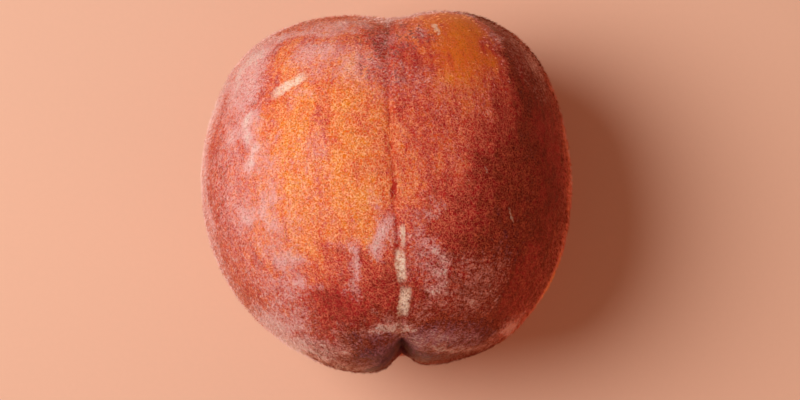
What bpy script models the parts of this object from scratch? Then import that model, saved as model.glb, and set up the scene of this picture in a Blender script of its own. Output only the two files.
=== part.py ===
"""A whole ripe peach, lying on its back with its seam upwards.

It is one solid: broad uneven shoulders, a funnel where the stem was, a seam that runs over the
upper side into a deep cleft at the tip, and the small flat that the fruit rests on.

Run it with: blender --background --python part.py

Metres, +Z up. +Y is the stem end and +X the right cheek, seen from above with the stem end away.
The origin lies on the resting surface, under the middle of the fruit.
"""

import math

import bmesh
import bpy
from mathutils import Matrix, Vector, noise

MM = 0.001

# Radii of the body, measured from its middle before the bulges and hollows are added
RIGHT_CHEEK = 37.6 * MM
LEFT_CHEEK = 37.2 * MM
RIGHT_CROWN = 37.0 * MM
LEFT_CROWN = 35.5 * MM
RIGHT_TIP = 36.0 * MM
LEFT_TIP = 38.0 * MM
SEAM_SIDE = 35.6 * MM
BACK_SIDE = 34.6 * MM

# Shoulders: how far they swell, how far from the stem axis, and how wide the swelling is
RIGHT_SHOULDER = (3.9 * MM, 41.0, 25.0)
LEFT_SHOULDER = (3.9 * MM, 45.0, 26.0)
# Hips: the fullness towards the tip, given in the same way
RIGHT_HIP = (0.3 * MM, 120.0, 30.0)
LEFT_HIP = (0.7 * MM, 135.0, 30.0)
# How sharply the left cheek's form passes into the right one's, in shares of the radius
CHEEK_CHANGE = 0.15

# Stem hollow: a funnel with a small round scar at its bottom
HOLLOW_DEPTH = 9.5 * MM
HOLLOW_SPREAD = 11.5
SCAR_RADIUS = 2.0 * MM
SCAR_RISE = 0.7 * MM

# Below, a pair is the range in which a form fades in or out. Most are in degrees from the stem
# axis, and FRONT_EDGE and CLEFT_SIDES are in shares of the radius towards the front

# Seam: a wide dip over the crown, a slight dip down the front and a fine crease in it
FRONT_EDGE = (0.0, 0.3)
CROWN_DIP = 1.8 * MM
CROWN_DIP_HALF_WIDTH = 7.0 * MM
CROWN_DIP_OFFSET = 1.6 * MM
CROWN_DIP_ENDS = (18.0, 55.0)
FRONT_DIP = 0.30 * MM
FRONT_DIP_HALF_WIDTH = 6.0 * MM
FRONT_DIP_STARTS = (20.0, 45.0)
CREASE_DEPTH = 0.20 * MM
CREASE_HALF_WIDTH = 0.9 * MM
CREASE_STARTS = (14.0, 30.0)

# Tip: the seam opens into a steep cleft, which holds a tiny dry point and ends sooner on the back
CLEFT_DEPTH = 5.4 * MM
CLEFT_HALF_WIDTH = 2.2 * MM
CLEFT_STARTS = (143.0, 166.0)
BACK_CLEFT_STARTS = (151.0, 168.0)
CLEFT_SIDES = (-0.1, 0.1)
POINT_RISE = 0.6 * MM
POINT_SPREAD = 2.6

# The fruit is not quite straight: the sideways place of its axis at the stem end, half way and tip
AXIS_AT_STEM = 1.2 * MM
AXIS_HALF_WAY = 0.5 * MM
AXIS_AT_TIP = 3.7 * MM
UPPER_AXIS = (0.0, 90.0)
LOWER_AXIS = (90.0, 170.0)

# The seam wanders to the right of that axis, most of all below the middle, and meets it at the tip
WANDER = 0.35 * MM
LOW_WANDER = (1.6 * MM, 110.0, 34.0)
WANDER_ENDS = (140.0, 168.0)

# Slow unevenness of the skin
SWELL_HEIGHT = 0.45 * MM
SWELLS_PER_RADIUS = 1.9
SWELL_FADES = (0.1, 0.5)

# The tip is this much higher than the stem end, in degrees, as the fruit lies
TIP_RAISED = 5.0
# How much of the underside is pressed flat
FLAT_RISE = 0.7 * MM

COLUMNS = 80
ROWS = 56
# Above 1 the columns crowd towards the seam
COLUMN_CROWDING = 1.4
# Above 0 the rows crowd towards the stem hollow and the tip
ROW_CROWDING = 0.2
SNAP = 0.1 * MM

SKIN_COLOUR = (0.62, 0.16, 0.08, 1.0)
SKIN_ROUGHNESS = 0.75


def bell(value, centre, spread):
    """1 at centre, falling smoothly to nothing a few spreads away."""
    return math.exp(-(((value - centre) / spread) ** 2))


def ease(value, ends):
    """0 below the low end, 1 above the high end, and smooth between."""
    low, high = ends
    t = min(1.0, max(0.0, (value - low) / (high - low)))
    return t * t * (3.0 - 2.0 * t)


def between(left, right, share):
    return left + (right - left) * share


def bulge(form, drop):
    height, centre, spread = form
    return height * bell(drop, centre, spread)


def body_radius(across, along, front, drop):
    """The plain body in one direction, with its shoulders and hips and no seam or hollow."""
    share = 0.5 + 0.5 * across / math.hypot(across, CHEEK_CHANGE)
    cheek = between(LEFT_CHEEK, RIGHT_CHEEK, share)
    crown = between(LEFT_CROWN, RIGHT_CROWN, share)
    end = crown if along > 0.0 else between(LEFT_TIP, RIGHT_TIP, share)
    side = between(BACK_SIDE, SEAM_SIDE, 0.5 + 0.5 * front)
    radius = cheek * across**2 + end * along**2 + side * front**2
    radius += between(bulge(LEFT_SHOULDER, drop), bulge(RIGHT_SHOULDER, drop), share)
    radius += between(bulge(LEFT_HIP, drop), bulge(RIGHT_HIP, drop), share)
    return radius


def axis_shift(drop):
    """How far to the right the fruit's axis lies, from the stem end to the tip."""
    upper = between(AXIS_AT_STEM, AXIS_HALF_WAY, ease(drop, UPPER_AXIS))
    return between(upper, AXIS_AT_TIP, ease(drop, LOWER_AXIS))


def seam_wander(drop):
    """How far to the right of that axis the seam runs."""
    return (WANDER + bulge(LOW_WANDER, drop)) * (1.0 - ease(drop, WANDER_ENDS))


def stem_hollow(drop, off_axis):
    """Depth of the funnel at the stem end, less the small raised scar at its bottom."""
    funnel = HOLLOW_DEPTH * bell(drop, 0.0, HOLLOW_SPREAD)
    return funnel - SCAR_RISE * (1.0 - ease(off_axis, (0.5 * SCAR_RADIUS, SCAR_RADIUS)))


def seam_depth(sideways, front, drop):
    """Depth of the seam: the dip over the crown, the front's dip and crease, and the tip's cleft."""
    crown = CROWN_DIP * bell(sideways, CROWN_DIP_OFFSET, CROWN_DIP_HALF_WIDTH)
    crown *= 1.0 - ease(drop, CROWN_DIP_ENDS)
    on_front = ease(front, FRONT_EDGE)
    dip = FRONT_DIP * bell(sideways, 0.0, FRONT_DIP_HALF_WIDTH)
    dip *= ease(drop, FRONT_DIP_STARTS) * on_front
    crease = CREASE_DEPTH * bell(sideways, 0.0, CREASE_HALF_WIDTH)
    crease *= ease(drop, CREASE_STARTS) * on_front
    wall = 1.0 / (1.0 + (sideways / CLEFT_HALF_WIDTH) ** 2)
    opened = between(ease(drop, BACK_CLEFT_STARTS), ease(drop, CLEFT_STARTS), ease(front, CLEFT_SIDES))
    cleft = CLEFT_DEPTH * wall * opened
    return crown + dip + crease + cleft


def skin_point(across, along, front):
    """The skin's place in a unit direction: across to the right, along to the stem, front to the seam."""
    drop = math.degrees(math.acos(max(-1.0, min(1.0, along))))
    radius = body_radius(across, along, front, drop)
    sideways = radius * across - seam_wander(drop)
    off_axis = radius * math.hypot(across, front)
    radius -= stem_hollow(drop, off_axis)
    radius -= seam_depth(sideways, front, drop)
    radius += POINT_RISE * bell(drop, 180.0, POINT_SPREAD)
    direction = Vector((across, along, front))
    swell = noise.noise(direction * SWELLS_PER_RADIUS)
    radius += SWELL_HEIGHT * swell * ease(math.hypot(across, front), SWELL_FADES)
    return direction * radius + Vector((axis_shift(drop), 0.0, 0.0))


def crowded(direction):
    """A sphere's direction, turned so that the grid is finest along the seam and at both ends."""
    drop = math.acos(max(-1.0, min(1.0, direction.z)))
    turn = math.atan2(direction.x, -direction.y)
    drop -= ROW_CROWDING * math.sin(2.0 * drop)
    turn = math.copysign(math.pi * (abs(turn) / math.pi) ** COLUMN_CROWDING, turn)
    turn += seam_wander(math.degrees(drop)) / SEAM_SIDE * (1.0 - abs(turn) / math.pi)
    ring = math.sin(drop)
    return ring * math.sin(turn), math.cos(drop), ring * math.cos(turn)


def press_flat(mesh):
    """Cuts the underside level, as the skin that carries the fruit is pressed."""
    level = min(v.co.z for v in mesh.verts) + FLAT_RISE
    cut = bmesh.ops.bisect_plane(
        mesh,
        geom=mesh.verts[:] + mesh.edges[:] + mesh.faces[:],
        dist=SNAP,
        plane_co=(0.0, 0.0, level),
        plane_no=(0.0, 0.0, 1.0),
        clear_inner=True,
    )
    rim = [e for e in cut["geom_cut"] if isinstance(e, bmesh.types.BMEdge)]
    for vertex in {v for edge in rim for v in edge.verts}:
        vertex.co.z = level
    bmesh.ops.edgeloop_fill(mesh, edges=rim)


def stand_on_origin(mesh):
    """Puts the middle of the fruit's outline over the origin and its flat on the surface."""
    low = Vector(min(v.co[i] for v in mesh.verts) for i in range(3))
    high = Vector(max(v.co[i] for v in mesh.verts) for i in range(3))
    middle = (low + high) / 2.0
    bmesh.ops.translate(mesh, verts=mesh.verts, vec=(-middle.x, -middle.y, -low.z))


def skin_material():
    material = bpy.data.materials.new("peach_skin")
    material.use_nodes = True
    shader = material.node_tree.nodes["Principled BSDF"]
    shader.inputs["Base Color"].default_value = SKIN_COLOUR
    shader.inputs["Roughness"].default_value = SKIN_ROUGHNESS
    material.diffuse_color = SKIN_COLOUR
    return material


def make_peach():
    grid = bmesh.new()
    bmesh.ops.create_uvsphere(grid, u_segments=COLUMNS, v_segments=ROWS, radius=1.0)
    for vertex in grid.verts:
        vertex.co = skin_point(*crowded(vertex.co.normalized()))
    lean = Matrix.Rotation(math.radians(-TIP_RAISED), 3, "X")
    bmesh.ops.rotate(grid, verts=grid.verts, cent=(0.0, 0.0, 0.0), matrix=lean)
    press_flat(grid)
    stand_on_origin(grid)
    bmesh.ops.recalc_face_normals(grid, faces=grid.faces)
    mesh = bpy.data.meshes.new("peach")
    grid.to_mesh(mesh)
    grid.free()
    mesh.shade_smooth()
    peach = bpy.data.objects.new("peach", mesh)
    peach.data.materials.append(skin_material())
    bpy.context.scene.collection.objects.link(peach)
    return peach


def main():
    for old in list(bpy.data.objects):
        bpy.data.objects.remove(old, do_unlink=True)
    make_peach()


main()
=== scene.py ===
# A whole ripe peach on its back, seen from straight above: velvety skin, seam, marks and fuzz.
# Metres, +Z up. +Y is the stem end and +X the right cheek.
# A place on the fruit is a turn and a drop, in degrees. The turn runs round the stem axis from the
# seam (0) over the right cheek (90) to the back (180), the drop from the stem (0) to the tip (180).
import math

import bpy
import numpy as np
from mathutils import Matrix, Vector, noise


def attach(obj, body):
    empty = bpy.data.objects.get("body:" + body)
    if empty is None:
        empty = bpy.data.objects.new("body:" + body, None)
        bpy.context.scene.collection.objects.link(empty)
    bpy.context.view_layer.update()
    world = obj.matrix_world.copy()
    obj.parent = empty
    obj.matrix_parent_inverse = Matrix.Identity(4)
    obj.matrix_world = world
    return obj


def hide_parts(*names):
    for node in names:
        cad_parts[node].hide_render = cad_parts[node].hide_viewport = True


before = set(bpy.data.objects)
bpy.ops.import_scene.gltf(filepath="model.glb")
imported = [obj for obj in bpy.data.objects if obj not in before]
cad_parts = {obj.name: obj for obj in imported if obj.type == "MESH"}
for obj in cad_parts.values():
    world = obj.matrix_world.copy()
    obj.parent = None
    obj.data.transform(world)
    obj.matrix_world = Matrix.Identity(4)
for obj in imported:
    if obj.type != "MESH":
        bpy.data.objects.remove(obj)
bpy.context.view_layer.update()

mm = 0.001
degree = math.pi / 180.0

fruit = {
    "middle": (-0.60 * mm, 0.24 * mm, 34.23 * mm),
    "tipRaised": 5.0,               # degrees that the tip lies higher than the stem end
    "axisAtStem": 1.2 * mm,         # how far right of the middle the fruit's axis runs
    "axisHalfWay": 0.5 * mm,
    "axisAtTip": 3.7 * mm,
    "upperAxis": (0.0, 90.0),       # drops between which it shifts, above the middle and below
    "lowerAxis": (90.0, 170.0),
    "wander": 0.35 * mm,            # how far right of that axis the seam runs
    "lowWander": 1.6 * mm,          # and what is added to it below the middle
    "lowWanderAt": 110.0,
    "lowWanderSpread": 34.0,
    "wanderEnds": (140.0, 168.0),
    "frontEdge": (4.0 * mm, 12.0 * mm),     # how far forward the side with the seam begins
    "stemEnd": 60.0,                # the drop within which the stem's scar may lie
}


def ease(value, low, high):
    t = np.clip((value - low) / (high - low), 0.0, 1.0)
    return t * t * (3.0 - 2.0 * t)


def bell(value, spread):
    return np.exp(-(value / spread) ** 2)


def noiseAt(points, perMetre, shift=0.0):
    offset = Vector((shift, shift, shift))
    return np.array([noise.noise(Vector(point) * perMetre + offset) for point in points])


def unit(vectors):
    return vectors / np.linalg.norm(vectors, axis=1)[:, None]


def deselectAll():
    bpy.ops.object.select_all(action="DESELECT")


# The three directions at a place: outwards, along the turn, and towards the tip
def axesAt(turn, drop):
    sinT, cosT = math.sin(turn * degree), math.cos(turn * degree)
    sinD, cosD = math.sin(drop * degree), math.cos(drop * degree)
    outwards = np.array((sinD * sinT, cosD, sinD * cosT))
    aside = np.array((cosT, 0.0, -sinT))
    tipwards = np.array((cosD * sinT, -sinD, cosD * cosT))
    return outwards, aside, tipwards


# Where each point of the skin lies on the fruit
def readPlaces(points):
    lean = fruit["tipRaised"] * degree
    x, y, z = (points - np.array(fruit["middle"])).T
    along = y * math.cos(lean) - z * math.sin(lean)
    front = y * math.sin(lean) + z * math.cos(lean)
    drop = np.degrees(np.arccos(np.clip(along / np.sqrt(x * x + along**2 + front**2), -1.0, 1.0)))
    aboveMiddle = ease(drop, *fruit["upperAxis"])
    axis = fruit["axisAtStem"] + (fruit["axisHalfWay"] - fruit["axisAtStem"]) * aboveMiddle
    axis += (fruit["axisAtTip"] - axis) * ease(drop, *fruit["lowerAxis"])
    lowShare = bell(drop - fruit["lowWanderAt"], fruit["lowWanderSpread"])
    wander = fruit["wander"] + fruit["lowWander"] * lowShare
    side = x - axis - wander * (1.0 - ease(drop, *fruit["wanderEnds"]))
    return {
        "towards": unit(np.column_stack((side, along, front))),
        "side": side,
        "drop": drop,
        "turn": np.degrees(np.arctan2(side, front)),
        "onFront": ease(front, *fruit["frontEdge"]),
        "offAxis": np.hypot(side, front),
    }


# A point of the fruit's own directions, turned back to the frame
def toFrame(vector):
    lean = fruit["tipRaised"] * degree
    x, along, front = vector
    y = along * math.cos(lean) + front * math.sin(lean)
    z = front * math.cos(lean) - along * math.sin(lean)
    return np.array((x, y, z))


# How far each place is from a place on the skin, as a share of a half width and half length in degrees
def apart(places, turn, drop, wide, long):
    outwards, aside, tipwards = axesAt(turn, drop)
    towards = places["towards"]
    u = np.degrees(np.arcsin(np.clip(towards @ aside, -1.0, 1.0))) / wide
    v = np.degrees(np.arcsin(np.clip(towards @ tipwards, -1.0, 1.0))) / long
    return np.where(towards @ outwards > 0.0, np.hypot(u, v), 99.0)


# The strongest of many soft ovals
def ovals(places, rows):
    total = np.zeros(len(places["drop"]))
    for turn, drop, wide, long, strength in rows:
        total = np.maximum(total, strength * bell(apart(places, turn, drop, wide, long), 1.0))
    return total


# Dabs that run into one another: each place takes the mean of the dabs that reach it
def dabs(places, rows, base, baseWeight):
    total = np.full(len(places["drop"]), base * baseWeight)
    weights = np.full(len(places["drop"]), baseWeight)
    for turn, drop, wide, long, value in rows:
        weight = (1.0 + apart(places, turn, drop, wide, long) ** 2) ** -3.0
        total += weight * value
        weights += weight
    return total / weights


print("skin: form")

skinForm = {
    "weld": 0.01 * mm,
    "subdivisions": 2,
    "lumpHeight": 0.10 * mm,
    "lumpsPerMetre": 170.0,
    "poreHeight": 0.03 * mm,
    "poresPerMetre": 900.0,
    "creaseStarts": (24.0, 36.0),   # the drops between which the crease fades in, and out
    "creaseEnds": (136.0, 150.0),
    "creaseDepth": 0.06 * mm,
    "creaseHalfWidth": 0.38 * mm,
    "creasePitsPerMetre": 620.0,
    "creaseLipHeight": 0.03 * mm,
    "creaseLipAt": 1.1 * mm,
    "creaseLipHalfWidth": 0.6 * mm,
    "wrinkles": 17.0,               # fine folds that run into the stem hollow
    "wrinkleHeight": 0.16 * mm,
    "wrinkleDrop": 11.0,
    "wrinkleSpread": 5.0,
    "wrinkleBendsPerMetre": 260.0,
    "stemScarRadius": 2.0 * mm,
    "stemScarGrain": 0.16 * mm,
    "stemScarGrainsPerMetre": 2400.0,
    "restEdge": (0.3 * mm, 2.5 * mm),   # the heights between which all of this fades in
}


def makeSkin():
    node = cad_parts["peach"]
    piece = bpy.data.objects.new("skin", node.data.copy())
    bpy.context.scene.collection.objects.link(piece)
    deselectAll()
    piece.select_set(True)
    bpy.context.view_layer.objects.active = piece
    bpy.ops.object.mode_set(mode="EDIT")
    bpy.ops.mesh.select_all(action="SELECT")
    bpy.ops.mesh.remove_doubles(threshold=skinForm["weld"])
    bpy.ops.mesh.tris_convert_to_quads()
    bpy.ops.mesh.normals_make_consistent(inside=False)
    bpy.ops.object.mode_set(mode="OBJECT")
    rounding = piece.modifiers.new("rounding", "SUBSURF")
    rounding.levels = skinForm["subdivisions"]
    rounding.render_levels = skinForm["subdivisions"]
    bpy.ops.object.modifier_apply(modifier=rounding.name)
    bpy.ops.object.shade_smooth()
    return piece


def readMesh(piece):
    mesh = piece.data
    points = np.zeros(len(mesh.vertices) * 3)
    mesh.vertices.foreach_get("co", points)
    normals = np.zeros(len(mesh.vertices) * 3)
    mesh.vertex_normals.foreach_get("vector", normals)
    return points.reshape(-1, 3), normals.reshape(-1, 3)


def shapeSkin(piece):
    points, normals = readMesh(piece)
    places = readPlaces(points)
    lift = skinForm["lumpHeight"] * noiseAt(points, skinForm["lumpsPerMetre"])
    lift += skinForm["poreHeight"] * noiseAt(points, skinForm["poresPerMetre"], 7.0)

    # The crease is a string of small pits between two low lips
    inCrease = places["onFront"] * ease(places["drop"], *skinForm["creaseStarts"])
    inCrease *= 1.0 - ease(places["drop"], *skinForm["creaseEnds"])
    pits = 0.65 + 0.7 * noiseAt(points, skinForm["creasePitsPerMetre"], 3.0)
    pits *= bell(places["side"], skinForm["creaseHalfWidth"])
    lift -= skinForm["creaseDepth"] * pits * inCrease
    lips = bell(np.abs(places["side"]) - skinForm["creaseLipAt"], skinForm["creaseLipHalfWidth"])
    lift += skinForm["creaseLipHeight"] * lips * inCrease

    # Folds that run down into the stem hollow, and the rough round scar at its bottom
    bends = 2.5 * noiseAt(points, skinForm["wrinkleBendsPerMetre"], 11.0)
    folds = np.sin(places["turn"] * degree * skinForm["wrinkles"] + bends)
    inHollow = bell(places["drop"] - skinForm["wrinkleDrop"], skinForm["wrinkleSpread"])
    lift += skinForm["wrinkleHeight"] * folds * inHollow
    scar = 1.0 - ease(places["offAxis"], 0.8 * skinForm["stemScarRadius"], skinForm["stemScarRadius"])
    scar *= places["drop"] < fruit["stemEnd"]
    lift += skinForm["stemScarGrain"] * scar * noiseAt(points, skinForm["stemScarGrainsPerMetre"], 5.0)

    # Nothing moves where the fruit rests
    lift *= ease(points[:, 2], *skinForm["restEdge"])
    points += normals * lift[:, None]
    points[:, 2] = np.maximum(points[:, 2], 0.0)
    piece.data.vertices.foreach_set("co", points.ravel())
    piece.data.update()


print("skin: colours by place")

# How ripe the skin looks: 0 golden orange, 0.3 orange red, 0.55 red, 0.75 crimson, 1 dark wine. A few dabs
# also paint light and shade with it: an orange glow along the right edge, and shade in the cleft at the
# tip.
# turn, drop, half width, half length, ripeness
ripeAndPaintedLightDabs = [
    # Left cheek, from the seam outwards
    (-2.0, 58.0, 3.0, 7.0, 0.60),
    (3.0, 65.0, 4.0, 6.0, 0.58),
    (-6.0, 73.0, 4.0, 8.0, 0.26),
    (-3.0, 92.0, 3.0, 14.0, 0.34),
    (-4.0, 109.0, 5.0, 7.0, 0.58),
    (-9.0, 88.0, 4.0, 14.0, 0.18),
    (-13.0, 76.0, 6.0, 9.0, 0.12),
    (-14.0, 92.0, 6.0, 12.0, 0.10),
    (-13.0, 105.0, 5.0, 6.0, 0.22),
    (-22.0, 92.0, 3.0, 14.0, 0.36),
    (-23.0, 75.0, 4.0, 5.0, 0.49),
    (-30.0, 74.0, 7.0, 10.0, 0.14),
    (-31.0, 90.0, 7.0, 12.0, 0.09),
    (-30.0, 105.0, 7.0, 8.0, 0.26),
    (-27.0, 113.0, 4.0, 5.0, 0.26),
    (-38.0, 53.0, 5.0, 8.0, 0.20),
    (-43.0, 58.0, 3.0, 6.0, 0.50),
    (-48.0, 63.0, 4.0, 9.0, 0.60),
    (-44.0, 84.0, 4.0, 12.0, 0.34),
    (-45.0, 106.0, 6.0, 9.0, 0.38),
    (-55.0, 88.0, 6.0, 14.0, 0.52),
    (-66.0, 72.0, 7.0, 12.0, 0.58),
    (-66.0, 96.0, 6.0, 14.0, 0.62),
    (-62.0, 116.0, 8.0, 8.0, 0.56),
    (-51.0, 116.0, 5.0, 7.0, 0.50),
    (-59.0, 127.0, 9.0, 6.0, 0.56),
    (-38.0, 121.0, 6.0, 6.0, 0.52),
    # Upper edge, left of the stem hollow
    (-1.0, 44.0, 5.0, 8.0, 0.75),
    (-14.0, 48.0, 8.0, 8.0, 0.49),
    (-28.0, 46.0, 7.0, 8.0, 0.48),
    (-24.0, 62.0, 7.0, 7.0, 0.37),
    (-13.0, 57.0, 7.0, 7.0, 0.20),
    (-55.0, 45.0, 12.0, 12.0, 0.58),
    # Lower edge and the tip
    (-27.0, 125.0, 7.0, 6.0, 0.73),
    (-22.0, 120.0, 6.0, 4.5, 0.60),
    (-22.0, 130.0, 8.0, 6.0, 0.67),
    (-2.0, 160.0, 8.0, 8.0, 1.08),
    # This dab, past full ripeness, paints the shade on the left lobe's flank in the cleft at the tip
    (-11.0, 167.0, 8.0, 5.0, 1.12),
    (-34.0, 138.0, 9.0, 6.0, 0.70),
    (-10.0, 118.0, 6.0, 6.0, 0.60),
    (-8.0, 127.0, 8.0, 7.0, 0.70),
    (-10.0, 135.0, 8.0, 5.0, 0.84),
    (-18.0, 142.0, 8.0, 6.0, 0.98),
    (-22.0, 154.0, 16.0, 9.0, 1.02),
    (-42.0, 152.0, 14.0, 10.0, 0.76),
    (-66.0, 143.0, 16.0, 9.0, 0.50),
    (0.0, 165.0, 30.0, 14.0, 0.96),
    (14.0, 149.0, 14.0, 7.0, 0.99),
    (42.0, 146.0, 18.0, 9.0, 0.97),
    # Right of the seam
    (10.0, 54.0, 6.0, 6.0, 0.60),
    (5.0, 73.0, 4.0, 7.0, 0.46),
    (4.0, 85.0, 4.0, 9.0, 0.33),
    (4.0, 97.0, 4.0, 7.0, 0.40),
    (13.0, 69.0, 5.0, 6.0, 0.54),
    (12.0, 82.0, 7.0, 10.0, 0.50),
    (20.0, 84.0, 6.0, 11.0, 0.47),
    (14.0, 104.0, 8.0, 8.0, 0.60),
    (24.0, 98.0, 8.0, 8.0, 0.70),
    (18.0, 116.0, 8.0, 8.0, 0.75),
    (20.0, 130.0, 10.0, 6.0, 0.80),
    # Right shoulder and cheek
    (16.0, 44.0, 5.0, 6.0, 0.27),
    (20.0, 52.0, 4.0, 8.0, 0.32),
    (62.0, 31.0, 8.0, 8.0, 0.86),
    (30.0, 43.0, 9.0, 8.0, 0.10),
    (34.0, 53.0, 8.0, 7.0, 0.12),
    (24.0, 60.0, 8.0, 7.0, 0.22),
    (28.0, 66.0, 7.0, 5.0, 0.40),
    (36.0, 72.0, 6.0, 6.0, 0.74),
    (28.0, 80.0, 7.0, 7.0, 0.65),
    (36.0, 84.0, 5.0, 8.0, 0.88),
    (35.0, 96.0, 8.0, 10.0, 0.84),
    (30.0, 110.0, 10.0, 10.0, 0.86),
    (43.0, 47.0, 4.0, 10.0, 0.46),
    (43.0, 61.0, 4.0, 10.0, 0.60),
    (49.0, 47.0, 5.0, 9.0, 0.88),
    (50.0, 61.0, 5.0, 9.0, 0.89),
    (47.0, 74.0, 5.0, 10.0, 0.89),
    (47.0, 90.0, 6.0, 12.0, 0.88),
    (42.0, 110.0, 9.0, 12.0, 0.89),
    (34.0, 127.0, 12.0, 8.0, 0.88),
    (64.0, 60.0, 10.0, 14.0, 0.86),
    (58.0, 92.0, 8.0, 16.0, 0.85),
    (70.0, 108.0, 10.0, 24.0, 0.84),
    # The next six dabs paint an orange glow along the right and lower right edges: warm light from the
    # floor on the fuzz, painted as unripe orange skin
    (92.0, 64.0, 8.0, 12.0, 0.25),
    (83.0, 81.0, 5.0, 8.0, 0.30),
    (86.0, 88.0, 8.0, 20.0, 0.33),
    (88.0, 118.0, 9.0, 14.0, 0.04),
    (101.0, 134.0, 11.0, 10.0, 0.40),
    (69.0, 142.0, 9.0, 5.0, 0.50),
    # The hidden sides and back
    (100.0, 90.0, 22.0, 40.0, 0.80),
    (-100.0, 85.0, 22.0, 40.0, 0.55),
    (180.0, 76.0, 34.0, 32.0, 0.24),
    (-142.0, 104.0, 22.0, 26.0, 0.40),
    (146.0, 112.0, 22.0, 24.0, 0.50),
    (180.0, 140.0, 60.0, 18.0, 0.58),
    (180.0, 12.0, 60.0, 14.0, 0.22),
]
# Where the down lies thick and pale, and where pale painted sheen lies along the edges. turn, drop, half
# width, half length, strength
bloomAndRimSheenPatches = [
    (-28.0, 95.0, 20.0, 28.0, 0.36),
    (-32.0, 105.0, 8.0, 8.0, 0.50),
    (-56.0, 92.0, 17.0, 36.0, 0.68),
    (-43.0, 85.0, 6.0, 12.0, 0.75),
    (-58.0, 60.0, 11.0, 16.0, 1.10),
    (-64.0, 54.0, 11.0, 11.0, 1.55),
    (-49.0, 71.0, 5.0, 4.5, 1.90),
    (-55.0, 76.0, 4.0, 5.0, 1.20),
    (-46.0, 78.0, 3.0, 6.0, 1.50),
    (-48.0, 81.5, 4.5, 4.5, 1.55),
    (-49.0, 93.0, 7.0, 6.0, 0.75),
    (-44.0, 70.0, 4.0, 8.0, 0.95),
    (-8.0, 100.0, 4.0, 9.0, 0.50),
    (-49.5, 99.0, 5.0, 7.0, 1.35),
    # Painted sheen of fuzz seen edge on along the left edge
    (-76.0, 88.0, 7.0, 26.0, 1.10),
    (-54.0, 121.0, 11.0, 9.0, 0.62),
    (-48.0, 127.0, 8.0, 4.0, 0.90),
    (12.0, 28.0, 16.0, 5.0, 1.30),
    (-42.0, 100.0, 5.0, 10.0, 1.10),
    (-40.5, 112.5, 5.0, 4.5, 1.20),
    (-37.0, 120.5, 4.0, 3.5, 1.00),
    (-43.0, 122.0, 8.0, 6.0, 0.80),
    # The next sixteen patches paint the pale sheen of fuzz seen edge on along the top, the stem hollow's
    # lip, the left edge and the lower left edge, and paint light on that shaded lower edge
    (-50.0, 44.0, 8.0, 5.0, 1.20),
    (-37.0, 41.0, 9.0, 4.0, 1.10),
    (-24.0, 37.0, 10.0, 4.0, 1.10),
    (-45.0, 14.0, 12.0, 8.0, 1.10),
    (20.0, 16.0, 12.0, 7.0, 1.75),
    (52.0, 17.0, 12.0, 7.0, 1.70),
    (-82.0, 88.0, 12.0, 46.0, 0.90),
    (-91.0, 98.0, 12.0, 34.0, 1.35),
    (-70.0, 45.0, 14.0, 14.0, 1.15),
    (-86.0, 60.0, 14.0, 16.0, 1.65),
    (-66.0, 136.0, 14.0, 9.0, 1.25),
    (-88.0, 146.0, 14.0, 9.0, 1.80),
    (-74.0, 157.0, 14.0, 6.0, 1.70),
    (-60.0, 164.0, 10.0, 4.0, 1.40),
    (-62.0, 148.0, 12.0, 6.0, 1.50),
    (-43.0, 148.0, 11.0, 6.0, 1.30),
    (-28.0, 141.0, 8.0, 4.0, 0.60),
    (-23.0, 84.0, 3.0, 8.0, 0.55),
    (-31.0, 66.0, 7.0, 4.0, 0.60),
    (-5.0, 109.0, 4.0, 5.0, 1.50),
    (-16.0, 119.0, 3.5, 8.0, 1.05),
    (-26.0, 52.0, 10.0, 8.0, 0.85),
    (-10.0, 54.0, 13.0, 10.0, 0.72),
    (3.0, 43.0, 7.0, 8.0, 0.68),
    (7.0, 112.0, 5.0, 12.0, 0.75),
    (13.0, 133.0, 8.0, 4.0, 0.60),
    (8.0, 60.0, 8.0, 8.0, 0.36),
    (14.0, 70.0, 5.0, 3.5, 0.30),
    (14.0, 100.0, 4.0, 4.0, 0.60),
    (14.0, 118.0, 5.0, 6.0, 1.30),
    (13.0, 127.0, 5.5, 5.0, 1.50),
    (31.0, 130.0, 4.0, 3.0, 1.00),
    (32.0, 125.0, 12.0, 12.0, 0.70),
    (-7.0, 140.5, 7.0, 4.5, 1.85),
    (4.0, 140.5, 6.0, 4.5, 1.80),
    (20.0, 150.0, 16.0, 8.0, 1.20),
    (42.0, 156.0, 16.0, 5.0, 1.60),
    (69.0, 142.0, 11.0, 5.0, 1.10),
    (49.0, 43.0, 5.0, 5.0, 0.90),
    # The next five patches paint the sheen of fuzz seen edge on along the upper right and right edges
    (64.0, 50.0, 8.0, 12.0, 1.00),
    (82.0, 80.0, 5.0, 10.0, 0.50),
    (84.0, 112.0, 6.0, 34.0, 0.30),
    (92.0, 62.0, 10.0, 12.0, 0.90),
    (106.0, 132.0, 12.0, 12.0, 0.50),
    (-130.0, 80.0, 20.0, 30.0, 0.40),
    (140.0, 60.0, 20.0, 20.0, 0.40),
]
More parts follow.
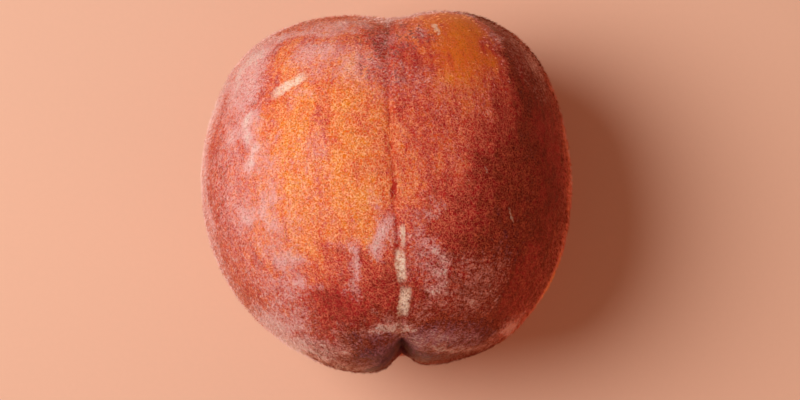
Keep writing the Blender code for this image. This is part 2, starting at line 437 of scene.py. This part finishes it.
# How many fine curls of down there are, and a few dabs that paint light and shade with them. turn, drop,
# half width, half length, share
downAndPaintedLightDabs = [
    (30.0, 48.0, 14.0, 14.0, 0.02),
    (46.0, 52.0, 5.0, 10.0, 0.80),
    (60.0, 80.0, 12.0, 40.0, 0.25),
    (10.0, 76.0, 8.0, 14.0, 0.85),
    (22.0, 88.0, 8.0, 12.0, 0.90),
    (36.0, 98.0, 8.0, 12.0, 0.70),
    (24.0, 118.0, 14.0, 14.0, 0.95),
    (50.0, 124.0, 10.0, 14.0, 0.55),
    (-26.0, 129.0, 10.0, 7.0, 0.35),
    (-18.0, 152.0, 20.0, 8.0, 0.60),
    # The next two dabs thin the pale curls and hairs to paint the shade in the cleft at the tip
    (-13.0, 164.0, 8.0, 7.0, 0.05),
    (-9.0, 170.0, 12.0, 8.0, 0.10),
    # This dab thickens the down to paint the glow of warm light on the fuzz along the right edge
    (85.0, 112.0, 7.0, 38.0, 1.00),
]
# Dark specks in the down: by the stem hollow and in the cleft
speckPatches = [
    (-2.0, 43.0, 10.0, 10.0, 1.4),
    (-4.0, 56.0, 6.0, 6.0, 0.7),
    (0.0, 170.0, 40.0, 12.0, 0.8),
]


painting = {
    "ripeElsewhere": (0.58, 0.04),  # the value and the weight of what no dab reaches
    "downElsewhere": (1.0, 0.12),
    "wobble": 0.11,                 # in shares of the radius
    "wobblesPerMetre": 130.0,
    "smallWobbleShare": 0.5,
    "smallWobblesPerMetre": 420.0,
    "streakShift": 0.006,           # how far the streaks' noise shifts with each degree of drop
    "beyondScar": 40.0,             # the distance from the stem scar that all the rest is given
}


# Wobbles the places, so that no edge of a patch is a clean oval
def wobbled(places, points):
    large, small = painting["wobblesPerMetre"], painting["smallWobblesPerMetre"]
    push = np.column_stack([noiseAt(points, large, shift) for shift in (21.0, 33.0, 45.0)])
    smallPush = np.column_stack([noiseAt(points, small, shift) for shift in (51.0, 63.0, 75.0)])
    push += painting["smallWobbleShare"] * smallPush
    moved = dict(places)
    moved["towards"] = unit(places["towards"] + painting["wobble"] * push)
    return moved


def addAttribute(piece, name, values):
    kind = "FLOAT" if values.ndim == 1 else "FLOAT_VECTOR"
    field = "value" if values.ndim == 1 else "vector"
    attribute = piece.data.attributes.new(name, kind, "POINT")
    attribute.data.foreach_set(field, values.astype(np.float32).ravel())


def paintSkin(piece):
    points, normals = readMesh(piece)
    places = readPlaces(points)
    moved = wobbled(places, points)
    ripeAndPaintedLight = dabs(moved, ripeAndPaintedLightDabs, *painting["ripeElsewhere"])
    bloomAndRimSheen = ovals(moved, bloomAndRimSheenPatches)
    downAndPaintedLight = dabs(moved, downAndPaintedLightDabs, *painting["downElsewhere"])
    addAttribute(piece, "ripeAndPaintedLight", ripeAndPaintedLight)
    addAttribute(piece, "bloomAndRimSheen", bloomAndRimSheen)
    addAttribute(piece, "downinessAndPaintedLight", downAndPaintedLight)
    addAttribute(piece, "specks", ovals(moved, speckPatches))

    # The seam's own measures, in millimetres to the side and degrees along
    seam = np.column_stack((places["side"] / mm, places["drop"], places["onFront"]))
    addAttribute(piece, "seam", seam)

    # Streaks run from stem to tip: their noise turns with the fruit in full, and hardly shifts along it
    towards = places["towards"]
    ring = unit(np.column_stack((towards[:, 0], towards[:, 2])) + 1e-9)
    shift = painting["streakShift"] * places["drop"]
    addAttribute(piece, "streak", np.column_stack((ring[:, 0], ring[:, 1], shift)))

    nearStem = places["drop"] < fruit["stemEnd"]
    stemScar = np.where(nearStem, places["offAxis"] / mm, painting["beyondScar"])
    addAttribute(piece, "stemScar", stemScar)
    return points, normals, places, ripeAndPaintedLight, bloomAndRimSheen, downAndPaintedLight


print("skin: material")

skinLook = {
    # Ripeness and colour: the skin itself, and the down that lies on it
    "skinShades": (
        (0.00, (0.76, 0.205, 0.009)),
        (0.28, (0.70, 0.115, 0.018)),
        (0.52, (0.50, 0.030, 0.024)),
        (0.72, (0.31, 0.010, 0.013)),
        (0.88, (0.122, 0.006, 0.002)),
        (1.00, (0.052, 0.004, 0.026)),
    ),
    "downShades": (
        (0.00, (0.98, 0.550, 0.270)),
        (0.28, (0.96, 0.460, 0.235)),
        (0.52, (0.90, 0.310, 0.165)),
        (0.72, (0.72, 0.180, 0.105)),
        (0.88, (0.52, 0.110, 0.045)),
        (1.00, (0.34, 0.085, 0.135)),
    ),
    "bloomAndRimSheen": (0.72, 0.45, 0.48),
    "paleBloomAndRimSheen": (0.74, 0.645, 0.58),
    "cream": (0.82, 0.64, 0.51),
    "crimson": (0.66, 0.055, 0.025),
    "crease": (0.36, 0.012, 0.008),
    "speck": (0.20, 0.040, 0.022),
    "scar": (0.16, 0.075, 0.035),
    "roughness": 0.72,
    "specular": 0.08,
    "sheen": 0.40,
    "sheenRoughness": 0.30,
    "sheenTint": (1.0, 0.55, 0.30),
    "subsurface": 0.10,
    "subsurfaceScale": 1.0 * mm,
    "subsurfaceRadius": (1.0, 0.32, 0.16),
    "bumpStrength": 0.5,
    "bumpDistance": 0.12 * mm,
    "grainTint": (0.50, 0.35, 0.30),    # dark grains in the skin are multiplied by this
    "markRag": 1.1 * mm,            # how far the edges of the marks are shaken
    "markDepth": 3.0 * mm,          # how far a mark reaches into and out of the skin
    "creaseFades": (50.0, 62.0),    # the drops between which the crease's colour fades in, and out
    "creaseStops": (117.0, 113.0),
}
# How fine each noise of the skin is, per metre, but for the streaks, which read their own attribute
noiseScales = {
    "streaks": 22.0,
    "patches": 170.0,
    "blotches": 620.0,
    "speckle": 1500.0,
    "grain": 3000.0,
    "curls": 1350.0,
    "smallCurls": 2100.0,
    "creaseDots": 700.0,
}
# Dark red pits along the crease, and corky cream marks.
# turn, drop, half width and half length in metres, tilt in degrees, strength
creasePits = [
    (0.0, 94.5, 0.50 * mm, 1.7 * mm, -6.0, 0.9),
    (-0.4, 103.5, 0.35 * mm, 0.6 * mm, 0.0, 0.6),
    (-0.4, 106.8, 0.42 * mm, 1.1 * mm, 4.0, 0.75),
    (-0.6, 110.5, 0.36 * mm, 0.8 * mm, -4.0, 0.65),
    (-0.8, 113.6, 0.50 * mm, 1.2 * mm, -8.0, 0.9),
]
corkMarks = [
    (-35.2, 61.5, 1.00 * mm, 3.3 * mm, -61.0, 0.95),
    (1.6, 109.0, 0.45 * mm, 1.9 * mm, 0.0, 0.80),
    (0.3, 118.5, 0.90 * mm, 2.4 * mm, 4.0, 1.0),
    (1.1, 132.0, 1.05 * mm, 2.1 * mm, -6.0, 1.0),
    (20.4, 40.6, 0.5 * mm, 0.5 * mm, 0.0, 0.8),
    (30.5, 87.8, 0.2 * mm, 0.6 * mm, 25.0, 0.35),
    (33.3, 70.0, 0.22 * mm, 0.5 * mm, 30.0, 0.40),
    (40.4, 101.1, 0.2 * mm, 0.8 * mm, 30.0, 0.5),
]


# A few words for the node tree, so that the materials below read as recipes. A ramp goes from bottom
# at its low end to top at its high end, and the low end may be the larger number.
class Recipe:
    def __init__(self, name):
        self.material = bpy.data.materials.new(name)
        self.material.use_nodes = True
        self.tree = self.material.node_tree
        self.shader = self.tree.nodes["Principled BSDF"]

    def put(self, socket, value):
        if isinstance(value, bpy.types.NodeSocket):
            self.tree.links.new(value, socket)
        elif isinstance(value, (tuple, list)) and socket.type == "RGBA":
            socket.default_value = (*value, 1.0)
        else:
            socket.default_value = value

    def node(self, kind, **settings):
        node = self.tree.nodes.new(kind)
        for key, value in settings.items():
            setattr(node, key, value)
        return node

    def attribute(self, name, output="Fac"):
        return self.node("ShaderNodeAttribute", attribute_name=name).outputs[output]

    def noise(self, where, scale, detail=2.0, output="Fac"):
        node = self.node("ShaderNodeTexNoise", noise_dimensions="3D")
        self.put(node.inputs["Vector"], where)
        node.inputs["Scale"].default_value = scale
        node.inputs["Detail"].default_value = detail
        return node.outputs[output]

    def math(self, operation, a, b=0.0):
        node = self.node("ShaderNodeMath", operation=operation)
        self.put(node.inputs[0], a)
        self.put(node.inputs[1], b)
        return node.outputs[0]

    def vector(self, operation, a, b=None, scale=None):
        node = self.node("ShaderNodeVectorMath", operation=operation)
        self.put(node.inputs[0], a)
        if b is not None:
            self.put(node.inputs[1], b)
        if scale is not None:
            node.inputs["Scale"].default_value = scale
        return node.outputs["Value" if operation in ("LENGTH", "DOT_PRODUCT") else "Vector"]

    def ramp(self, value, low, high, top=1.0, bottom=0.0):
        node = self.node("ShaderNodeMapRange", interpolation_type="SMOOTHSTEP")
        self.put(node.inputs["Value"], value)
        node.inputs["From Min"].default_value = low
        node.inputs["From Max"].default_value = high
        node.inputs["To Min"].default_value = bottom
        node.inputs["To Max"].default_value = top
        return node.outputs["Result"]

    def mix(self, share, a, b, blend="MIX"):
        node = self.node("ShaderNodeMix", data_type="RGBA", blend_type=blend)
        self.put(node.inputs[0], share)
        self.put(node.inputs[6], a)
        self.put(node.inputs[7], b)
        return node.outputs[2]

    # Thin winding lines: where a noise passes through its middle value
    def curls(self, where, scale):
        distance = self.math("ABSOLUTE", self.math("SUBTRACT", self.noise(where, scale, 1.0), 0.5))
        return self.ramp(distance, 0.068, 0.01)

    # A colour by value, from rows of place and colour
    def shades(self, value, rows):
        node = self.node("ShaderNodeValToRGB")
        self.put(node.inputs["Fac"], value)
        stops = node.color_ramp.elements
        while len(stops) < len(rows):
            stops.new(0.5)
        for stop, (place, colour) in zip(stops, rows):
            stop.position = place
            stop.color = (*colour, 1.0)
        return node.outputs["Color"]

    # Adds noises to a mask, each by its own weight, so that its edge breaks up
    def broken(self, mask, *noises):
        for field, weight in noises:
            mask = self.math("ADD", mask, self.math("MULTIPLY", self.math("SUBTRACT", field, 0.5), weight))
        return mask


# The skin's point that lies nearest to a turn and drop
def markPlace(turn, drop):
    return skinPoints[np.argmax(skinPlaces["towards"] @ axesAt(turn, drop)[0])]


# Ovals with firm edges, laid along the skin and turned by their tilt
def markMask(recipe, where, rows):
    total = None
    for turn, drop, wide, long, tilt, strength in rows:
        outwards, aside, tipwards = (Vector(toFrame(v)) for v in axesAt(turn, drop))
        spin = Matrix.Rotation(tilt * degree, 3, outwards)
        axes = Matrix((spin @ aside, spin @ tipwards, outwards)).transposed()
        node = recipe.node("ShaderNodeMapping", vector_type="TEXTURE")
        recipe.put(node.inputs["Vector"], where)
        node.inputs["Location"].default_value = Vector(markPlace(turn, drop))
        node.inputs["Rotation"].default_value = axes.to_euler()
        node.inputs["Scale"].default_value = (wide, long, skinLook["markDepth"])
        squared = recipe.vector("MULTIPLY", node.outputs["Vector"], node.outputs["Vector"])
        mask = recipe.ramp(recipe.vector("LENGTH", squared), 1.8, 0.3, strength)
        total = mask if total is None else recipe.math("MAXIMUM", total, mask)
    return total


def skinMaterial():
    r = Recipe("peach_skin")
    look = skinLook
    scales = noiseScales
    where = r.node("ShaderNodeTexCoord").outputs["Object"]
    seam = r.node("ShaderNodeSeparateXYZ")
    r.put(seam.inputs[0], r.attribute("seam", "Vector"))
    side, along, onFront = seam.outputs

    streaks = r.noise(r.attribute("streak", "Vector"), scales["streaks"], 4.0)
    patches = r.noise(where, scales["patches"], 3.0)
    blotches = r.noise(where, scales["blotches"], 3.0)
    speckle = r.noise(where, scales["speckle"], 2.0)
    grain = r.noise(where, scales["grain"], 1.0)
    ripenessAndPaintedLight, bloomAndRimSheen, downinessAndPaintedLight = (r.attribute(name) for name in ("ripeAndPaintedLight", "bloomAndRimSheen", "downinessAndPaintedLight"))

    # The skin is mottled most where it is least ripe and carries the most down
    mottle = r.broken(0.0, (streaks, 0.68), (patches, 0.2), (blotches, 0.4), (speckle, 0.5), (grain, 0.3))
    ripeCalm = r.ramp(ripenessAndPaintedLight, 0.45, 0.85, 0.36, 1.0)
    calm = r.math("MULTIPLY", ripeCalm, r.ramp(downinessAndPaintedLight, 0.0, 0.5, 1.0, 0.45))
    ripeAndPaintedLight = r.math("ADD", ripenessAndPaintedLight, r.math("MULTIPLY", mottle, calm))
    skin = r.shades(ripeAndPaintedLight, look["skinShades"])

    # Curls of fine down cover it
    downAndPaintedLight = r.shades(ripeAndPaintedLight, look["downShades"])
    curls = r.math("MULTIPLY", r.curls(where, scales["curls"]), r.ramp(speckle, 0.36, 0.56))
    smallCurls = r.math("MULTIPLY", r.curls(where, scales["smallCurls"]), 0.75)
    curls = r.math("MULTIPLY", r.math("MAXIMUM", curls, smallCurls), downinessAndPaintedLight)
    colour = r.mix(r.math("MULTIPLY", curls, 0.95), skin, downAndPaintedLight)

    # Pale bloom lies over both like powder, and is palest where it is thickest; along the edges the same
    # mask paints the pale sheen of fuzz seen edge on
    powder = r.broken(0.0, (blotches, 1.5), (speckle, 2.2), (grain, 1.6))
    powder = r.math("MULTIPLY", powder, r.ramp(ripenessAndPaintedLight, 0.4, 0.75, 1.0, 0.40))
    bloomAndRimSheenAmount = r.math("MULTIPLY", r.math("ADD", bloomAndRimSheen, powder), r.ramp(bloomAndRimSheen, 0.05, 0.3))
    bloomAndRimSheenColour = r.mix(r.ramp(ripeAndPaintedLight, 0.6, 0.95, 0.75, 0.25), look["bloomAndRimSheen"], downAndPaintedLight)
    colour = r.mix(r.ramp(bloomAndRimSheenAmount, 0.15, 1.35, 0.9), colour, bloomAndRimSheenColour)
    colour = r.mix(r.ramp(bloomAndRimSheenAmount, 1.1, 1.8, 0.6), colour, look["paleBloomAndRimSheen"])
    colour = r.mix(r.ramp(grain, 0.48, 0.3, 0.6), colour, look["grainTint"], "MULTIPLY")

    # Dark specks in the pale down
    spots = r.math("MULTIPLY", r.ramp(r.attribute("specks"), 0.15, 0.8), r.ramp(speckle, 0.56, 0.64, 0.85))
    colour = r.mix(spots, colour, look["speck"])

    # The crease is a soft crimson line with dark dots in it
    off = r.math("ABSOLUTE", r.broken(side, (speckle, 2.4), (blotches, 1.6)))
    ends = r.math("MULTIPLY", r.ramp(along, *look["creaseFades"]), r.ramp(along, *look["creaseStops"]))
    reach = r.math("MULTIPLY", ends, onFront)
    colour = r.mix(r.math("MULTIPLY", r.ramp(off, 1.2, 0.1, 0.28), reach), colour, look["crimson"])
    dots = r.ramp(r.noise(where, scales["creaseDots"], 1.0), 0.46, 0.58, 0.5)
    line = r.math("MULTIPLY", r.ramp(off, 0.7, 0.2), r.math("MULTIPLY", reach, dots))
    colour = r.mix(line, colour, look["crease"])

    # Pits and cream cork marks with ragged edges
    shake = r.vector("SUBTRACT", r.noise(where, scales["speckle"], 2.0, "Color"), (0.5, 0.5, 0.5))
    shaken = r.vector("ADD", where, r.vector("SCALE", shake, scale=look["markRag"]))
    colour = r.mix(markMask(r, shaken, creasePits), colour, look["crease"])
    marks = markMask(r, shaken, corkMarks)
    colour = r.mix(r.math("MULTIPLY", marks, r.ramp(grain, 0.3, 0.55, 1.0, 0.55)), colour, look["cream"])

    # The dry scar where the stem came off
    scar = r.broken(r.ramp(r.attribute("stemScar"), 2.6, 1.9), (grain, 0.5))
    colour = r.mix(r.ramp(scar, 0.3, 0.7), colour, look["scar"])

    r.put(r.shader.inputs["Base Color"], colour)
    r.put(r.shader.inputs["Roughness"], look["roughness"])
    r.put(r.shader.inputs["Specular IOR Level"], look["specular"])
    r.put(r.shader.inputs["Sheen Weight"], look["sheen"])
    r.put(r.shader.inputs["Sheen Roughness"], look["sheenRoughness"])
    r.put(r.shader.inputs["Sheen Tint"], look["sheenTint"])
    r.put(r.shader.inputs["Subsurface Weight"], look["subsurface"])
    r.put(r.shader.inputs["Subsurface Scale"], look["subsurfaceScale"])
    r.shader.inputs["Subsurface Radius"].default_value = look["subsurfaceRadius"]
    bump = r.node("ShaderNodeBump")
    bump.inputs["Strength"].default_value = look["bumpStrength"]
    bump.inputs["Distance"].default_value = look["bumpDistance"]
    r.put(bump.inputs["Height"], r.broken(curls, (grain, 1.2), (blotches, 0.8)))
    r.put(r.shader.inputs["Normal"], bump.outputs["Normal"])
    return r.material


skinPiece = makeSkin()
shapeSkin(skinPiece)
skinPoints, skinNormals, skinPlaces, skinRipeAndPaintedLight, skinBloomAndRimSheen, skinDownAndPaintedLight = paintSkin(skinPiece)
skinPiece.data.materials.clear()
skinPiece.data.materials.append(skinMaterial())
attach(skinPiece, "root")
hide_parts("peach")


print("fuzz: tufts")

# Hairs are bent spindles of six faces. They stand in tufts that lie over and swirl. The first kind
# takes the palest down, the next four an equal share each from orange to dark, the last the ripest.
fuzz = {
    "seed": 7,
    "tufts": 41000,
    "paleShare": 0.2,
    "plumFrom": 0.96,               # the ripeness from which the last kind takes over
    "paleFades": (0.55, 0.80),      # the ripeness between which no down counts as pale any more
    "paleMixing": 0.65,
    "mixing": 0.05,                 # how far the other kinds run into one another, in ripeness
    "hairs": 4,                     # in each tuft
    "length": 0.70 * mm,
    "lengthRange": (0.6, 1.25),
    "halfWidth": 0.55 * 0.036 * mm,
    "lean": (38.0, 80.0),           # degrees away from upright
    "bend": (0.2, 1.1),
    "bendAlong": 0.70,              # the upper half of a hair bends along the skin, and down to it
    "bendDown": 0.35,
    "clumpRadius": 0.10 * mm,
    "rooted": 0.03 * mm,            # how deep a hair starts in the skin
    "aboveFloor": 0.02 * mm,
    "swirlsPerMetre": 110.0,
    "swirl": 130.0,                 # degrees either way from the line to the tip
    "swirlMixing": 30.0,
    "hairSpread": 0.22,
    "footBare": (0.2 * mm, 1.2 * mm),       # the heights between which the fuzz sets in
    "scarBare": (1.6 * mm, 3.2 * mm),       # the same round the stem scar
    "smoothBare": (0.1, 0.7),               # and by how much down the skin has
}
fuzzColours = {
    "fuzz_pale": (0.88, 0.60, 0.54),
    "fuzz_amber": (0.96, 0.46, 0.20),
    "fuzz_rose": (0.88, 0.355, 0.29),
    "fuzz_crimson": (0.64, 0.18, 0.09),
    "fuzz_wine": (0.27, 0.045, 0.022),
    "fuzz_plum": (0.40, 0.145, 0.170),
}


def readTriangles(piece):
    mesh = piece.data
    mesh.calc_loop_triangles()
    corners = np.zeros(len(mesh.loop_triangles) * 3, dtype=np.int32)
    mesh.loop_triangles.foreach_get("vertices", corners)
    return corners.reshape(-1, 3)


# Roots strewn over the skin by its weights, with the skin's direction, ripeness and bloom at each
def plantRoots(random, triangles, weight, count):
    a, b, c = (skinPoints[triangles[:, i]] for i in range(3))
    share = np.linalg.norm(np.cross(b - a, c - a), axis=1) * weight[triangles].mean(axis=1)
    picked = triangles[random.choice(len(triangles), size=count, p=share / share.sum())]
    u, v = random.random(count), random.random(count)
    u, v = np.where(u + v > 1.0, 1.0 - u, u), np.where(u + v > 1.0, 1.0 - v, v)
    shares = np.column_stack((1.0 - u - v, u, v))[:, :, None]
    roots = (skinPoints[picked] * shares).sum(axis=1)
    normals = unit((skinNormals[picked] * shares).sum(axis=1))
    return roots, normals, skinRipeAndPaintedLight[picked[:, 0]], skinBloomAndRimSheen[picked[:, 0]]


# Deals the tufts out to the kinds
def sortTufts(random, ripeAndPaintedLight, bloomAndRimSheen):
    paleness = bloomAndRimSheen * (1.0 - ease(ripeAndPaintedLight, *fuzz["paleFades"]))
    order = np.argsort(-paleness - random.uniform(0.0, fuzz["paleMixing"], len(bloomAndRimSheen)))
    pale, rest = np.split(order, [int(fuzz["paleShare"] * len(order))])
    mixed = ripeAndPaintedLight[rest] + random.normal(0.0, fuzz["mixing"], len(rest))
    *others, darkest = np.array_split(rest[np.argsort(mixed)], len(fuzzColours) - 2)
    plum = ripeAndPaintedLight[darkest] > fuzz["plumFrom"]
    return [pale, *others, darkest[~plum], darkest[plum]]


def growFuzz(random, name, roots, normals):
    tip = toFrame((0.0, -1.0, 0.0))
    tipwards = unit(tip - normals * (normals @ tip)[:, None])
    aside = np.cross(normals, tipwards)
    turn = fuzz["swirl"] * noiseAt(roots, fuzz["swirlsPerMetre"], 1.0)
    turn = (turn + random.normal(0.0, fuzz["swirlMixing"], len(roots))) * degree
    lying = tipwards * np.cos(turn)[:, None] + aside * np.sin(turn)[:, None]
    lean = random.uniform(*fuzz["lean"], len(roots)) * degree
    heading = normals * np.cos(lean)[:, None] + lying * np.sin(lean)[:, None]

    # Every tuft's hairs start close together and part a little
    roots, normals, lying, heading, tipwards, aside = (
        np.repeat(rows, fuzz["hairs"], axis=0) for rows in (roots, normals, lying, heading, tipwards, aside)
    )
    count = len(roots)
    roots = roots + tipwards * random.normal(0.0, fuzz["clumpRadius"], count)[:, None]
    roots = roots + aside * random.normal(0.0, fuzz["clumpRadius"], count)[:, None]
    heading = unit(heading + random.normal(0.0, fuzz["hairSpread"], (count, 3)))
    length = fuzz["length"] * random.uniform(*fuzz["lengthRange"], count)[:, None]
    bend = random.uniform(*fuzz["bend"], count)[:, None]
    middle = roots + heading * length * 0.5
    bent = fuzz["bendAlong"] * lying - fuzz["bendDown"] * normals
    ending = middle + unit(heading + bend * bent) * length * 0.5
    across = unit(np.cross(heading, lying + 0.3 * normals))
    over = np.cross(heading, across)

    rows = [roots - normals * fuzz["rooted"]]
    for corner in range(3):
        angle = corner * 120.0 * degree
        rows.append(middle + fuzz["halfWidth"] * (across * math.cos(angle) + over * math.sin(angle)))
    rows.append(ending)
    points = np.stack(rows, axis=1).reshape(-1, 3)
    points[:, 2] = np.maximum(points[:, 2], fuzz["aboveFloor"])
    pattern = np.array([(0, 2, 1), (0, 3, 2), (0, 1, 3), (4, 1, 2), (4, 2, 3), (4, 3, 1)])
    faces = (pattern[None, :, :] + 5 * np.arange(count)[:, None, None]).reshape(-1, 3)
    mesh = bpy.data.meshes.new(name)
    mesh.from_pydata(points, [], faces)
    piece = bpy.data.objects.new(name, mesh)
    bpy.context.scene.collection.objects.link(piece)
    return piece


def fuzzMaterial(name, colour):
    r = Recipe(name)
    r.put(r.shader.inputs["Base Color"], colour)
    r.put(r.shader.inputs["Roughness"], 1.0)
    r.put(r.shader.inputs["Specular IOR Level"], 0.0)
    return r.material


thickness = ease(skinPoints[:, 2], *fuzz["footBare"]) * ease(skinPlaces["offAxis"], *fuzz["scarBare"])
thickness *= ease(skinDownAndPaintedLight, *fuzz["smoothBare"])
dice = np.random.default_rng(fuzz["seed"])
planted = plantRoots(dice, readTriangles(skinPiece), thickness, fuzz["tufts"])
allRoots, allNormals, rootRipeAndPaintedLight, rootBloomAndRimSheen = planted
for name, chosen in zip(fuzzColours, sortTufts(dice, rootRipeAndPaintedLight, rootBloomAndRimSheen)):
    print("  ", name, len(chosen))
    tufts = growFuzz(dice, name, allRoots[chosen], allNormals[chosen])
    tufts.data.materials.append(fuzzMaterial(name, fuzzColours[name]))
    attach(tufts, "root")


print("floor, light and camera")

setting = {
    "floorHalf": 1.5,
    "floorDrop": 0.05 * mm,         # how far under the fruit the floor lies
    "floorColour": (0.79, 0.48, 0.35),
    "fibreShade": 0.97,
    "fibresPerMetre": 900.0,
    "lightFrom": (-0.37, 0.10, 0.57),
    "lightSize": 0.44,
    "lightPower": 4.60,
    "lightColour": (1.0, 0.97, 0.93),
    "fillFrom": (0.42, -0.30, 0.10),
    "fillSize": 0.25,
    "fillPower": 0.80,
    "fillColour": (1.0, 0.50, 0.24),
    "skyColour": (1.0, 0.54, 0.385),
    "skyStrength": 0.24,
    "cameraOver": (2.76 * mm, -1.43 * mm),
    "cameraHeight": 595.0 * mm,
    "lens": 123.5,
}


def makeFloor():
    deselectAll()
    place = (0.0, 0.0, -setting["floorDrop"])
    bpy.ops.mesh.primitive_plane_add(size=2.0 * setting["floorHalf"], location=place)
    floor = bpy.context.object
    floor.name = "floor"
    bpy.ops.object.transform_apply(location=True, rotation=True, scale=True)
    r = Recipe("pale_paper")
    where = r.node("ShaderNodeTexCoord").outputs["Object"]
    fibres = r.noise(where, setting["fibresPerMetre"], 4.0)
    pale = setting["floorColour"]
    darker = tuple(setting["fibreShade"] * c for c in pale)
    r.put(r.shader.inputs["Base Color"], r.mix(fibres, darker, pale))
    r.put(r.shader.inputs["Roughness"], 0.9)
    r.put(r.shader.inputs["Specular IOR Level"], 0.1)
    floor.data.materials.append(r.material)


def makeLight(name, place, size, power, colour):
    lamp = bpy.data.lights.new(name, "AREA")
    lamp.shape = "DISK"
    lamp.size = size
    lamp.energy = power
    lamp.color = colour
    light = bpy.data.objects.new(name, lamp)
    light.location = place
    aim = Vector(fruit["middle"]) - light.location
    light.rotation_euler = aim.to_track_quat("-Z", "Y").to_euler()
    bpy.context.scene.collection.objects.link(light)


def makeSky():
    world = bpy.data.worlds.new("room")
    world.use_nodes = True
    background = world.node_tree.nodes["Background"]
    background.inputs["Color"].default_value = (*setting["skyColour"], 1.0)
    background.inputs["Strength"].default_value = setting["skyStrength"]
    bpy.context.scene.world = world


def makeCamera():
    lens = bpy.data.cameras.new("camera")
    lens.lens = setting["lens"]
    lens.sensor_width = 36.0
    lens.clip_start = 0.01
    camera = bpy.data.objects.new("camera", lens)
    camera.location = (*setting["cameraOver"], setting["cameraHeight"])
    bpy.context.scene.collection.objects.link(camera)
    bpy.context.scene.camera = camera


makeFloor()
makeLight("window", *(setting[key] for key in ("lightFrom", "lightSize", "lightPower", "lightColour")))
makeLight("fill", *(setting[key] for key in ("fillFrom", "fillSize", "fillPower", "fillColour")))
makeSky()
makeCamera()
bpy.context.scene.view_settings.view_transform = "Standard"
